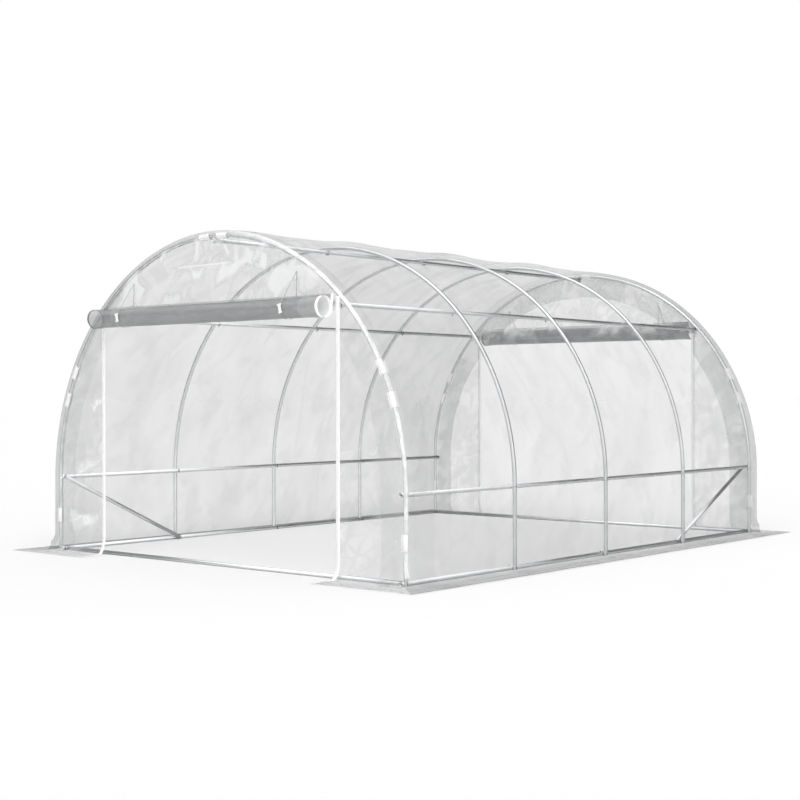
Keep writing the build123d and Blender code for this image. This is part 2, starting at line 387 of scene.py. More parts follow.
def zinc_finish(tubes):
    """Hot-dip zinc on a drawn tube: small spangle, and patches a little duller than others."""
    zinc = Finish("galvanised_tube")
    cells = zinc.node("ShaderNodeTexVoronoi", {}, {"Vector": zinc.place(), "Scale": 160.0}, "Color")
    spangle = zinc.node("ShaderNodeSeparateColor", {}, {0: cells}, 0)
    patch = zinc.noise(zinc.place(), 9.0, 4.0, 0.6)
    dark = tuple(0.84 * channel for channel in tubes.zinc)
    bright = tuple(min(1.0, 1.1 * channel) for channel in tubes.zinc)
    return zinc.surface(
        Base_Color=zinc.mix(spangle * 0.5 + patch * 0.5, dark, bright),
        Metallic=1.0,
        Roughness=0.24 + patch * 0.12 + spangle * 0.06,
        Normal=zinc.bump(patch * 0.5 + spangle * 0.12, 0.0004),
    )


def bolt_finish(tubes):
    """Zinc-plated bolts, darker in random patches."""
    steel = Finish("bolt_steel")
    grime = steel.noise(steel.place(), 140.0, 3.0)
    dark = tuple(0.55 * channel for channel in tubes.steel)
    return steel.surface(
        Base_Color=steel.mix(grime.step(0.35, 0.7), dark, tuple(tubes.steel)),
        Metallic=0.85,
        Roughness=0.34 + grime * 0.3,
        Normal=steel.bump(grime, 0.0003),
    )


def clip_notches(sheet):
    """Where film is cut away round the clips on the end hoops."""
    across = abs(sheet.place("X"))
    rise = sheet.place("Z") - SPRING
    above = rise.most(0.0)
    reach = (across * across + above * above) ** 0.5
    angle = rise.maths("ARCTAN2", rise, across)
    half = CLIP_LENGTH / 2 + 0.002
    near = 1 - abs(rise - (CLIP_LEG_HEIGHT - SPRING)).step(half, half + 0.001)
    for middle in CLIP_ANGLES:
        away = abs(angle - radians(middle)) * ARCH_R
        near = near.most(1 - away.step(half, half + 0.001))
    end = abs(sheet.place("Y")).step(HALF_LENGTH - 0.020, HALF_LENGTH - 0.019)
    gripped = 1 - abs(reach - ARCH_R).step(CLIP_REACH, CLIP_REACH + 0.001)
    return near * end * gripped


def film_finish(name, tint, highlight_white, opacity, *, cells, creased, glow, drawn=None, doubled=None):
    """Clear film with milky clouds, flat facets between its creases, and white marks, which are
    painted highlights of the creased film, partly also its stress whitening. Each facet is a little
    more or less opaque, a painted shade as if each were turned to the light its own way.

    cells is how many facets lie on a metre, creased how strongly they show, and glow how much
    painted glow the white marks give off, though they are no lamp. drawn and doubled are
    functions that take the finish: drawn gives the mask of the painted highlights where the film
    is drawn white, and doubled the mask where two layers lie together.
    """
    sheet = Finish(name)
    fold = sheet.crease()
    cloud = sheet.noise(sheet.place(), 1.3, 2.0, 0.45, 0.3)
    streak = sheet.noise(sheet.turned((0.5, 0.35, 0.6), (1.0, 3.5, 1.2)), 2.0, 2.0, 0.5)
    facet, edge = sheet.crumple(cells, 0.2)
    patch = sheet.noise(sheet.turned((0.2, 0.9, 0.3), (1.0, 2.0, 1.0)), 2.2, 1.0, 0.4)
    patch = patch.step(0.42, 0.66)
    # White marks: painted highlights on the mesh's crease lines, along the facets' edges and in
    # smudges.
    highlight_smudge = sheet.noise(sheet.turned((0.7, 0.4, 0.1), (1.0, 2.0, 1.5)), 3.2, 1.2, 0.45, 0.3)
    marks = edge ** 2 * patch * 0.2 + highlight_smudge.step(0.46, 0.72) * (patch * 0.5 + 0.35)
    white = (fold * 0.6).most(marks * creased)
    ground = 1 - sheet.place("Z").step(0.006, 0.03)
    # Each facet more or less opaque: painted shade, as if each facet were turned to the light its
    # own way.
    opaque = cloud * 0.7 + streak * 0.5 + (facet - 0.5) * 0.5 * creased + 0.4
    high = sheet.place("Z").step(1.1, 1.9) * 0.16
    outside = abs(sheet.place("Y")).step(HALF_LENGTH - 0.05, HALF_LENGTH - 0.02) * 0.2
    rightward = sheet.place("X").step(-1.2, 1.2) * 0.22
    opaque = opaque * opacity * (1.13 - rightward - high - outside) + ground * 0.14
    if doubled:
        opaque = opaque + doubled(sheet) * opacity * 0.8
    if drawn:
        white = white.most(drawn(sheet))
    return sheet.surface(
        Base_Color=sheet.mix(white, tint, highlight_white),
        Roughness=0.2 + cloud * 0.2,
        Alpha=(opaque + white * (1 - opaque) * 0.75) * (1 - clip_notches(sheet)),
        # Painted glow on the white marks, though the film is no lamp.
        glow=sheet.mix(white, BLACK, (glow, glow, glow)),
        Normal=sheet.bump(streak, 0.002),
    )


def hoop_highlights(sheet):
    """Painted highlights on the cover: white over an end hoop, strongest on its lit right side and
    at the front, partly also the film's stress whitening where it is drawn over the hoop, and white
    along the right rail.
    """
    height = sheet.place("Z")
    across = sheet.place("X")
    along = abs(sheet.place("Y"))
    above = height.step(0.03, 0.06)
    width = height.step(0.55, 1.1) * 0.006
    end = (along + width).step(HALF_LENGTH - 0.004, HALF_LENGTH + 0.010)
    wrinkle = sheet.noise(sheet.turned((0.0, 0.0, 0.0), (1.0, 2.5, 1.0)), 16.0, 3.0, 0.6, 0.5)
    seam = abs(along - HALF_LENGTH + 0.007).step(0.0005, 0.0035)
    lit = across.step(-0.4, 0.7) * 0.75 + 0.2
    rail = (1 - abs(height - RAIL_HEIGHT).step(0.005, 0.012)) * across.step(1.40, 1.45)
    rail = rail * (1 - along.step(HALF_LENGTH - 0.06, HALF_LENGTH - 0.02)) * 0.35
    front = 1 - sheet.place("Y").step(0.0, 0.1) * 0.7
    return (end * above * lit * front * (wrinkle * 0.9 + 0.45) * (seam * 0.45 + 0.55)).most(rail)


def gather_highlights(sheet):
    """Where an end wall is painted white for its highlights: pleats that fan in from the hoop, one
    long crease, and hazy patches.
    """
    across = sheet.place("X")
    up = sheet.place("Z") - SPRING
    edge = ARCH_R - (across * across + up * up) ** 0.5
    angle = up.maths("ARCTAN2", up, across)
    spread = {0: angle * 17 + edge * 4, 1: edge * 3, 2: sheet.place("Y")}
    along = sheet.node("ShaderNodeCombineXYZ", {}, spread)
    pleats = sheet.noise(along, 1.0, 1.5, 0.4).step(0.42, 0.58)
    place = sheet.node("ShaderNodeCombineXYZ", {}, {0: angle * 1.6, 2: sheet.place("Y")})
    where = sheet.noise(place, 1.0, 0.0, 0.0).step(0.4, 0.55) * 0.35
    fan = angle.step(0.75, 1.05) * (1 - angle.step(1.5, 1.62))
    pleats = pleats * where.most(fan) * edge.step(0.03, 0.07) * (1 - edge.step(0.13, 0.21))
    gable = up.step(DOOR_TOP - SPRING, DOOR_TOP - SPRING + 0.04)
    level = BAND_INNER - 0.006 + across * 0.015
    crease = (1 - abs(up - level).step(0.003, 0.012)) * (1 - abs(across + 0.08).step(0.2, 0.34))
    cloud = sheet.noise(sheet.turned((0.3, 0.9, 0.2), (1.0, 1.0, 1.6)), 4.5, 1.5, 0.5, 0.6)
    highlight_haze = cloud.step(0.42, 0.66) * (gable * 0.4 + 0.35)
    return (pleats * gable * 0.75).most(crease * 0.75).most(highlight_haze)


def cover_hems(sheet):
    """Where the cover is doubled: welded strips beside the end hoops, and the skirt's hem."""
    along = abs(sheet.place("Y"))
    high = sheet.place("Z").step(0.9, 1.7)
    strip_edge = HALF_LENGTH - STRIP_WIDTH
    lap_edge = HALF_LENGTH - LAP_WIDTH
    hem_edge = SKIRT_EDGE - HEM_WIDTH
    strip = along.step(strip_edge, strip_edge + 0.002) * high * 0.6
    lap = along.step(lap_edge, lap_edge + 0.002) * (1 - high) * 0.25
    hem = abs(sheet.place("X")).step(hem_edge, hem_edge + 0.001)
    return strip.most(lap).most(hem)


def wall_hem(sheet):
    """Hem along the outer edge of an end wall's skirt."""
    hem_edge = SKIRT_EDGE - ARCH_R + HALF_LENGTH - HEM_WIDTH
    return abs(sheet.place("Y")).step(hem_edge, hem_edge + 0.001)


def plastic_finish(fittings):
    """Moulded white plastic with faint flow marks, and a painted glow that keeps it pale in shade.
    """
    plastic = Finish("white_plastic")
    flow = plastic.noise(plastic.turned((0.4, 0.2, 0.8), (1.0, 4.0, 1.0)), 60.0, 3.0)
    dark = tuple(0.9 * channel for channel in fittings.plastic)
    return plastic.surface(
        Base_Color=plastic.mix(flow, dark, tuple(fittings.plastic)),
        # Painted glow: keeps the clips, teeth, sliders and toggles pale where they stand in shade.
        glow=plastic.mix(flow, (0.08, 0.08, 0.08), (0.12, 0.12, 0.12)),
        Roughness=0.32 + flow * 0.16,
        Normal=plastic.bump(flow, 0.0002),
    )


def tape_finish(fittings):
    """Woven tape: a fine herringbone of yarns, with a painted glow that keeps it white in shade."""
    tape = Finish("white_tape")
    slant = tape.place("Z") + tape.place("Y") + abs(tape.place("X").wrap(0.006) - 0.003)
    yarn = abs(slant.wrap(0.0016) / 0.0016 - 0.5) * 2
    dark = tuple(0.86 * channel for channel in fittings.fabric)
    return tape.surface(
        Base_Color=tape.mix(yarn, dark, tuple(fittings.fabric)),
        # Painted glow, though the tape is no lamp.
        glow=tape.mix(yarn, (0.12, 0.12, 0.12), (0.16, 0.16, 0.16)),
        Roughness=0.86,
        Normal=tape.bump(yarn, 0.0004),
    )


def strap_finish(fittings):
    """Clear strap with a faint rib, greyer than the toggles."""
    strap = Finish("clear_strap")
    rib = abs(strap.place("X").wrap(0.002) / 0.002 - 0.5) * 2
    grey = tuple(0.48 * channel for channel in fittings.fabric)
    pale = tuple(0.6 * channel for channel in fittings.fabric)
    return strap.surface(
        Base_Color=strap.mix(rib, grey, pale),
        Roughness=0.4,
        Alpha=0.36 + rib * 0.08,
        Normal=strap.bump(rib, 0.0002),
    )


def roll_finish(film, fittings):
    """Film of a rolled door: clear at its left end, whose rim shows dark, and edged with zip tape
    at its right end, where its inmost turn is painted pale with a glow, a painted light in the
    bore. Its lower half is painted lighter, as if lit from below, its thin bright lines are
    painted glints, and its zip tape has a painted glow.
    """
    roll = Finish("rolled_film")
    long = roll.noise(roll.turned((0.0, 0.0, 0.0), (1.0, 8.0, 8.0)), 2.4, 4.0, 0.6, 0.5)
    # Painted glints: thin bright lines along the roll.
    glint = roll.ridges(roll.turned((0.0, 0.0, 0.1), (1.0, 5.0, 5.0)), 3.0, 0.05)
    # Painted light: the lower half lighter, as if lit from below.
    low = 1 - roll.place("Z").step(ROLL_HEIGHT - 0.03, ROLL_HEIGHT + 0.03)
    right = roll.place("X")
    left = right * -1
    tape = right.step(ROLL_HALF - ROLL_TAPE, ROLL_HALF - ROLL_TAPE + 0.001)
    clear = left.step(ROLL_HALF - 0.26, ROLL_HALF - 0.12)
    rim = left.step(ROLL_HALF + 0.002, ROLL_HALF + 0.008)
    bore = roll.crease()
    # Painted light in the bore: the inmost turn near the right end, pale and glowing.
    painted_bore_light = right.step(ROLL_HALF - 0.20, ROLL_HALF - 0.14)
    shell = painted_bore_light * (1 - bore) * 0.8
    painted_bore_light = painted_bore_light * bore
    dark = tuple(0.8 * channel for channel in film.roll_tint)
    bright = tuple(1.4 * channel for channel in film.roll_tint)
    sheen = roll.mix(long * 0.4 + glint * 0.2 + low * 0.4, dark, bright)
    sheen = roll.mix(clear * 0.15, sheen, BLACK)
    body = roll.mix(painted_bore_light, sheen, tuple(film.highlight_white))
    body = roll.mix(rim * 0.7, body, (0.12, 0.12, 0.12))
    body = roll.mix(tape, body, tuple(fittings.fabric))
    opaque = (long * 0.2 + 0.42) * (1 - clear * 0.42)
    opaque = opaque.most(tape * 0.92).most(rim * 0.7).most(painted_bore_light * 0.8).most(shell)
    return roll.surface(
        Base_Color=body,
        Roughness=0.3 + tape * 0.5,
        Alpha=opaque,
        # Painted glow on the zip tape and in the bore.
        glow=roll.mix(tape.most(painted_bore_light), BLACK, (0.16, 0.16, 0.16)),
        Normal=roll.bump(long, 0.004),
    )


# Shapes


def new_piece(name, mesh_maker, finish, nodes=(), sharp=60):
    """Puts a finished bmesh in the scene and hands it to the frame.

    Edges that bend by more than sharp degrees stay sharp, and at 180 none do.
    """
    mesh = bpy.data.meshes.new(name)
    mesh_maker.to_mesh(mesh)
    mesh_maker.free()
    mesh.materials.append(finish)
    for polygon in mesh.polygons:
        polygon.use_smooth = True
    if sharp < 180:
        mesh.set_sharp_from_angle(angle=radians(sharp))
    piece = bpy.data.objects.new(name, mesh)
    bpy.context.scene.collection.objects.link(piece)
    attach(piece, "root")
    if nodes:
        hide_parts(*nodes)
    return piece


def edges_of(verts):
    """Every edge at the given points, each once and always in the same order."""
    return list(dict.fromkeys(edge for vert in verts for edge in vert.link_edges))


def rounded(bm, verts, radius, segments=2):
    """Rounds every edge at some points."""
    bmesh.ops.bevel(
        bm,
        geom=verts + edges_of(verts),
        offset=radius,
        offset_type="OFFSET",
        affect="EDGES",
        segments=segments,
        profile=0.5,
        material=-1,
    )


def ring(bm, place, radius, segments=20):
    """Open circle in the local XY plane of a place."""
    made = bmesh.ops.create_circle(
        bm, cap_ends=False, segments=segments, radius=radius, matrix=place
    )
    return made["verts"]


def pushed(bm, verts, shift):
    """Extrudes a ring's edges by a shift and gives the new ring."""
    grown = bmesh.ops.extrude_edge_only(bm, edges=edges_of(verts))["geom"]
    moved = [item for item in grown if isinstance(item, bmesh.types.BMVert)]
    bmesh.ops.translate(bm, verts=moved, vec=shift)
    return moved


def facing(start, axis):
    """Place at start whose local Z is along axis."""
    return Matrix.Translation(start) @ Vector(axis).to_track_quat("Z", "Y").to_matrix().to_4x4()


def straight_tube(bm, start, end, radius):
    """Open shell of a straight tube."""
    axis = Vector(end) - Vector(start)
    pushed(bm, ring(bm, facing(start, axis), radius), axis)


def arch_place(y, angle):
    """Place on a hoop's centre line, local X outwards and local Z along the hoop."""
    turn = Matrix.Rotation(radians(angle), 4, Vector((0, -1, 0)))
    return Matrix.Translation((0, y, SPRING)) @ turn @ Matrix.Translation((ARCH_R, 0, 0))


def arch_tube(bm, y, first, last, radius, steps):
    """Shell of a tube rolled to the arch, between two angles above the right spring line."""
    verts = ring(bm, arch_place(y, first), radius)
    bmesh.ops.spin(
        bm,
        geom=verts + edges_of(verts),
        cent=(0, y, SPRING),
        axis=(0, -1, 0),
        angle=radians(last - first),
        steps=steps,
        use_duplicate=False,
    )


def closed(bm):
    """Joins the doubles, fills the open rings and turns the faces outwards."""
    bmesh.ops.remove_doubles(bm, verts=bm.verts, dist=1e-6)
    bmesh.ops.holes_fill(bm, edges=[edge for edge in bm.edges if edge.is_boundary], sides=0)
    bmesh.ops.recalc_face_normals(bm, faces=bm.faces)


def thick(piece, wall):
    """Gives an open shell its wall, inwards."""
    modifier = piece.modifiers.new("wall", "SOLIDIFY")
    modifier.thickness = wall
    modifier.offset = -1.0


# The film's run from the ridge over a hoop, down its leg and out along the ground


def smooth(low, high, value):
    """0 below low, 1 above high, and smooth between them."""
    t = min(1.0, max(0.0, (value - low) / (high - low)))
    return t * t * (3 - 2 * t)


def ripple(x, y, z):
    """Smooth noise from about -1 to 1."""
    return noise.noise(Vector((x, y, z)))


def crest(x, y, z, sharp):
    """1 along winding lines and 0 away from them."""
    return max(0.0, 1 - abs(ripple(x, y, z)) * sharp)


def slack(y):
    """0 on a hoop and 1 halfway between two."""
    f = min(1.0, max(0.0, (y + HALF_LENGTH) / (2 * HALF_LENGTH))) * (len(HOOPS) - 1)
    f -= int(f)
    return (4 * f * (1 - f)) ** 0.8


class Run:
    """The film's cross-section: stations from the left skirt's edge to the right one's."""

    def __init__(self, film):
        self.film = film
        self.reach = SKIRT_EDGE - ARCH_R - film.wrap - 0.001
        arch_steps = round(pi / 2 * ARCH_R / film.cell)
        leg_steps = round((SPRING - film.flare_height) / film.cell)
        half = [("arch", i / arch_steps) for i in range(arch_steps)]
        half += [("leg", i / leg_steps) for i in range(leg_steps)]
        half += [("flare", i / 14) for i in range(14)]
        half += [("flat", i / 14) for i in range(15)]
        self.stations = [(-1, *station) for station in reversed(half[1:])]
        self.stations += [(1, *station) for station in half]

    def at(self, station):
        """Point of the centre line, its outward direction, its distance from the leg, its lean.

        The lean is 0 on a wall and a right angle where the film lies on the ground.
        """
        side, part, f = station
        if part == "arch":
            angle = pi / 2 * (1 - f)
            out = Vector((side * cos(angle), 0, sin(angle)))
            return Vector((0, 0, SPRING)) + out * ARCH_R, out, 0.0, 0.0
        out = Vector((side, 0, 0))
        if part == "leg":
            z = SPRING + f * (self.film.flare_height - SPRING)
            return Vector((side * ARCH_R, 0, z)), out, 0.0, 0.0
        if part == "flare":
            lean = f * pi / 2
            away = self.film.flare_reach * (1 - cos(lean))
            z = self.film.flare_height * (1 - sin(lean))
            return Vector((side * (ARCH_R + away), 0, z)), out, away, lean
        away = self.film.flare_reach + f * (self.reach - self.film.flare_reach)
        return Vector((side * (ARCH_R + away), 0, 0)), out, away, pi / 2


def ground_folds(across, along, f, seed):
    """Height and crease of film on the ground, from its distance out and along.

    f is 0 where the film comes down to the ground and 1 at the skirt's edge.
    """
    wave = 0.0022 * (1 + ripple(across * 9, along * 2.3, seed))
    fold = 0.0
    for n, line in enumerate((0.112, 0.146, 0.178)):
        wander = 0.006 * ripple(along * 1.7, n * 5.0, seed)
        fold = max(fold, 1 - abs(across - line - wander) / 0.010)
    height = GROUND_FILM + smooth(0.0, 0.25, f) * (wave + 0.0032 * fold)
    return height, fold ** 2 * 0.6


def stand_off(film, station, y):
    """How far the cover stands off an end hoop, which it hugs at the front right."""
    side, part, f = station
    low = 1 - cos(pi / 2 * f) if part == "arch" else 1.0
    hugs = smooth(0.0, 0.4, f) if part == "arch" else 1.0
    snug = 1 - 0.85 * hugs if side > 0 and y < 0 else 1.0
    return (0.36 + 0.64 * low) * film.stand * snug


def cover_relief(film, station, y, around):
    """How far the cover stands off the hoops' line, and how creased it is there."""
    _, part, f = station
    loose = slack(y)
    inside = smooth(HALF_LENGTH, HALF_LENGTH - 0.16, abs(y))
    top = cos(pi / 2 * f) if part == "arch" else 0.0
    bay = int((y + HALF_LENGTH) / BAY)
    sink = -film.sag * top ** 0.7 * (1 + 0.25 * ripple(around * 1.1, bay, 3)) * loose
    swell = film.bulge * (1 - top) * (0.8 + 0.7 * ripple(around * 0.9, y * 0.7, 11)) * loose
    folds = crest(around * 0.6 + y * 0.35, y * 2.6 - around * 0.2, 5.0, 4.5)
    gate = smooth(-0.05, 0.35, ripple(around * 0.8, y * 0.8, 29.0))
    fine = noise.fractal(Vector((around * 3, y * 3, 2.0)), 0.8, 2.1, 3) * 0.5
    relief = film.lift * top ** 1.5 + sink + swell
    relief += loose * film.crumple * (folds ** 1.5 * gate - 0.4 + fine)
    stand = stand_off(film, station, y) * (1 + 0.16 * ripple(around * 1.3, y, 37.0))
    relief = relief * inside + stand * (1 - inside)
    crease = folds ** 6 * gate * 0.28 * smooth(0.1, 0.5, loose)
    if part == "flare":
        drape = ripple(y * 7.5, around * 0.8, 41.0) + 0.5 * ripple(y * 17, around, 43.0)
        relief += 0.006 * drape * smooth(0.0, 1.0, f)
        relief *= 1 - smooth(0.6, 1.0, f)
    return relief, min(1.0, crease)


def grid_sheet(columns, rows, point):
    """Grid of columns by rows whose every point is set by point(column, row) -> place, crease.

    Its faces are turned one way.
    """
    bm = bmesh.new()
    bmesh.ops.create_grid(bm, x_segments=columns, y_segments=rows, size=0.5)
    crease = bm.verts.layers.float.new("crease")
    for vert in bm.verts:
        column = round((vert.co.x + 0.5) * columns)
        row = round((vert.co.y + 0.5) * rows)
        vert.co, vert[crease] = point(column, row)
    bmesh.ops.recalc_face_normals(bm, faces=bm.faces)
    return bm


def cover_mesh(film):
    """The cover over the whole tunnel, from one skirt's edge to the other's."""
    run = Run(film)
    corner = 4
    columns = round(2 * HALF_LENGTH / film.cell) + 2 * corner

    def point(column, row):
        station = run.stations[row]
        centre, out, away, lean = run.at(station)
        end = -1 if column < columns / 2 else 1
        turn = pi / 2 * max(0.0, 1 - min(column, columns - column) / corner)
        f = min(1.0, max(0.0, (column - corner) / (columns - 2 * corner)))
        y = (2 * f - 1) * (HALF_LENGTH + away) + end * film.wrap * sin(turn)
        place = centre + out * film.wrap * cos(turn) + Vector((0, y, 0))
        along = end * min(HALF_LENGTH, abs(y))
        around = (row - len(run.stations) / 2) * film.cell
        relief, crease = cover_relief(film, station, along, around)
        relief *= cos(turn)
        if lean < pi / 2:
            place += (out * cos(lean) + Vector((0, 0, sin(lean)))) * relief
            place.z = max(place.z, GROUND_FILM)
            return place, crease
        place.z, crease = ground_folds(away, y, station[2], 61.0 + station[0])
        return place, crease

    return grid_sheet(columns, len(run.stations) - 1, point), run


def door_reach(angle):
    """Distance from the arch's centre to the doorway's edge, at an angle above the ground."""
    across = DOOR_HALF / max(abs(cos(angle)), 1e-6)
    up = (DOOR_TOP - SPRING) / max(sin(angle), 1e-6)
    return min(across, up)


def wall_relief(film, x, z, seed):
    """How far an end wall stands out of its plane, and how creased it is there."""
    above = max(0.0, z - SPRING)
    edge = ARCH_R - hypot(x, above)
    door = z - DOOR_TOP if z > DOOR_TOP else abs(x) - DOOR_HALF
    free = smooth(0.008, 0.11, edge) * smooth(0.0, 0.07, door)
    along = atan2(above, x) * ARCH_R if above > 0 else z
    side = 1 if x > 0 else -1
    tug = crest(x * 1.6 + side * z * 1.1, z * 2.1 - x * 0.7, seed, 3.0)
    pleat = smooth(0.02, 0.4, ripple(along * 8 + edge * 1.5, edge * 1.2, seed + 3))
    bunch = smooth(-0.25, 0.35, ripple(along * 0.8, 0.0, seed + 9))
    high = smooth(0.25, 0.6, above)
    ends = 0.10 + 0.09 * high
    pleat *= bunch * smooth(0.0, 0.03, edge) * (1 - smooth(ends, ends + 0.06, edge))
    fine = noise.fractal(Vector((x * 4, z * 4, seed)), 0.8, 2.1, 3) * 0.6
    relief = free * film.crumple * (tug ** 1.5 - 0.6 + fine)
    relief -= free * 0.006 * (1 + ripple(x * 1.2, z * 1.2, seed + 5))
    relief += pleat * 0.004 * smooth(0.0, 0.05, door)
    gate = smooth(-0.1, 0.3, ripple(x * 1.4, z * 1.4, seed + 20))
    return relief, min(1.0, tug ** 3 * 0.5 * free * gate + pleat * 0.4)


def wall_place(film, run, station, w, end, inner, back=0.0):
    """Point of an end wall: w is 0 at the hoop and 1 at the inner edge."""
    centre, _, away, lean = run.at(station)
    side, part, f = station
    if part == "arch":
        angle = pi / 2 * (1 - f)
        corner = atan2(DOOR_TOP - SPRING, DOOR_HALF)
        if abs(angle - corner) < film.cell / ARCH_R / 2:
            angle = corner
            centre = Vector((side * ARCH_R * cos(angle), 0, SPRING + ARCH_R * sin(angle)))
        reach = inner(angle)
        edge = Vector((side * reach * cos(angle), 0, SPRING + reach * sin(angle)))
    else:
        edge = Vector((side * inner(0.0), 0, centre.z))
    place = centre.lerp(edge, w)
    relief, crease = wall_relief(film, place.x, place.z, 7.0 * end)
    if part in ("flare", "flat"):
        calm = 1 - smooth(0.0, 1.0, f) if part == "flare" else 0.0
        relief, crease = relief * calm, crease * calm
    eased = smooth(ARCH_R - 0.004, ARCH_R - 0.03, hypot(place.x, max(0.0, place.z - SPRING)))
    y = HALF_LENGTH + film.wrap + away + WALL_GAP * eased * cos(lean) - back
    out = Vector((0, end * cos(lean), sin(lean)))
    place += Vector((0, end * y, 0)) + out * relief
    if part == "flat":
        place.z, crease = ground_folds(away, place.x, f, 71.0 + end)
    place.z = max(place.z, GROUND_FILM)
    return place, crease


def wall_mesh(film, end):
    """End wall in one sheet round its doorway, with its skirt."""
    run = Run(film)
    columns = 26
    return grid_sheet(
        columns,
        len(run.stations) - 1,
        lambda column, row: wall_place(
            film, run, run.stations[row], column / columns, end, door_reach
        ),
    )


def band_mesh(film, end):
    """Second layer of film inside an end wall, along its hoop."""
    run = Run(film)
    columns = 10
    stations = [s for s in run.stations if s[1] != "flat" and not (s[1] == "flare" and s[2] > 0.9)]

    def inner(angle):
        return max(BAND_INNER, min(ARCH_R - 0.03, door_reach(angle) + 0.002))

    def point(column, row):
        station = stations[row]
        w = 0.08 + 0.92 * column / columns
        place, crease = wall_place(film, run, station, w, end, inner, 0.0025)
        return place, crease * 0.5

    return grid_sheet(columns, len(stations) - 1, point)


class FrameOperator:
    """What every operator of this file shares."""

    bl_options = {"REGISTER", "UNDO"}


class GREENHOUSE_OT_hoops(FrameOperator, bpy.types.Operator):
    """Round tube hoops with swaged joints, on round legs"""

    bl_idname = "greenhouse.hoops"
    bl_label = "Hoops"

    def execute(self, context):
        tubes = context.scene.greenhouse_tubes
        finish = zinc_finish(tubes)
        for node, y in zip(HOOPS, HOOP_YS):
            bm = bmesh.new()
            arch_tube(bm, y, 0, 180, TUBE_R, 110)
            closed(bm)
            joints = bmesh.new()
            half = degrees(tubes.joint_length / ARCH_R) / 2
            for angle in JOINT_ANGLES:
                arch_tube(joints, y, angle - half, angle + half, TUBE_R + tubes.joint_step, 3)
            closed(joints)
            hoop = new_piece(f"arch_{node[-1]}", bm, finish, [node])
            sleeve = new_piece(f"arch_joints_{node[-1]}", joints, finish)
            sleeve.parent = hoop
        for side, sx in SIDES.items():
            bm = bmesh.new()
            for y in HOOP_YS:
                straight_tube(bm, (sx * ARCH_R, y, 0.0), (sx * ARCH_R, y, SPRING), TUBE_R)
                low = SPRING - tubes.joint_length
                foot = (sx * ARCH_R, y, low)
                straight_tube(bm, foot, (sx * ARCH_R, y, SPRING), TUBE_R + tubes.joint_step)
            closed(bm)
            new_piece(f"{side}_legs", bm, finish, [f"{side}_hoop_legs"])
        return {"FINISHED"}


class GREENHOUSE_OT_rails(FrameOperator, bpy.types.Operator):
    """Purlins, side rails, base rails and braces as open round tubes"""

    bl_idname = "greenhouse.rails"
    bl_label = "Rails and braces"

    def execute(self, context):
        tubes = context.scene.greenhouse_tubes
        finish = zinc_finish(tubes)
        for node in sorted(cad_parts):
            if not node.endswith(("_purlin", "_rail", "_brace")):
                continue
            low, high = (Vector(corner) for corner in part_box(node))
            start, end = rail_ends(node, low, high)
            bm = bmesh.new()
            straight_tube(bm, start, end, TUBE_R)
            bmesh.ops.recalc_face_normals(bm, faces=bm.faces)
            rail = new_piece(f"round_{node}", bm, finish, [node])
            thick(rail, tubes.wall)
        return {"FINISHED"}


def rail_ends(node, low, high):
    """Centres of a straight tube's two ends, from the corners of its node's box."""
    middle = (low + high) / 2
    if node.endswith("_brace"):
        side = 1 if middle.x > 0 else -1
        end = 1 if middle.y > 0 else -1
        top = Vector((middle.x, end * HALF_LENGTH, SPRING))
        foot = Vector((middle.x, end * (HALF_LENGTH - BAY), TUBE_R))
        return top, foot
    along = 0 if high.x - low.x > high.y - low.y else 1
    start, end = middle.copy(), middle.copy()
    start[along], end[along] = low[along], high[along]
    return start, end


class GREENHOUSE_OT_bolts(FrameOperator, bpy.types.Operator):
    """Bolts with washers and wing nuts where a rail crosses a hoop"""

    bl_idname = "greenhouse.bolts"
    bl_label = "Bolts"

    def execute(self, context):
        tubes = context.scene.greenhouse_tubes
        bm = bmesh.new()
        for y in HOOP_YS:
            for angle in BOLT_ANGLES:
                add_bolt(bm, arch_place(y, angle), tubes.bolt)
            for sx in SIDES.values():
                turn = Matrix.Scale(sx, 4, Vector((1, 0, 0)))
                add_bolt(bm, turn @ Matrix.Translation((ARCH_R, y, TUBE_R)), tubes.bolt)
        bmesh.ops.recalc_face_normals(bm, faces=bm.faces)
        new_piece("frame_bolts", bm, bolt_finish(tubes), sharp=35)
        return {"FINISHED"}


def add_bolt(bm, place, diameter):
    """A bolt along local X: its head on the hoop's back, its wing nut inside the rail."""
    outer = TUBE_R + 0.0006
    inner = outer - (ARCH_R - RAIL_INSET) - 2 * TUBE_R
    turn = Matrix.Rotation(pi / 2, 4, "Y")

    def disc(x, radius, tip, depth, segments):
        bmesh.ops.create_cone(
            bm,
            cap_ends=True,
            segments=segments,
            radius1=radius,
            radius2=tip,
            depth=depth,
            matrix=place @ Matrix.Translation((x, 0, 0)) @ turn,
        )

    disc(outer - 0.0002, diameter * 0.95, diameter * 0.55, diameter * 0.28, 12)
    disc((outer + inner) / 2, diameter / 2, diameter / 2, outer - inner, 8)
    disc(inner + 0.004, diameter * 1.1, diameter * 1.1, 0.0012, 12)
    disc(inner, diameter * 0.85, diameter * 0.7, 0.006, 8)
    for lean in (-1, 1):
        wing = Matrix.Translation((inner - 0.004, 0, lean * 0.009))
        wing = wing @ Matrix.Rotation(lean * 0.5, 4, "Y")
        box = Matrix.Diagonal((0.010, 0.0022, 0.008, 1))
        made = bmesh.ops.create_cube(bm, size=1.0, matrix=place @ wing @ box)
        rounded(bm, made["verts"], 0.0008, 1)


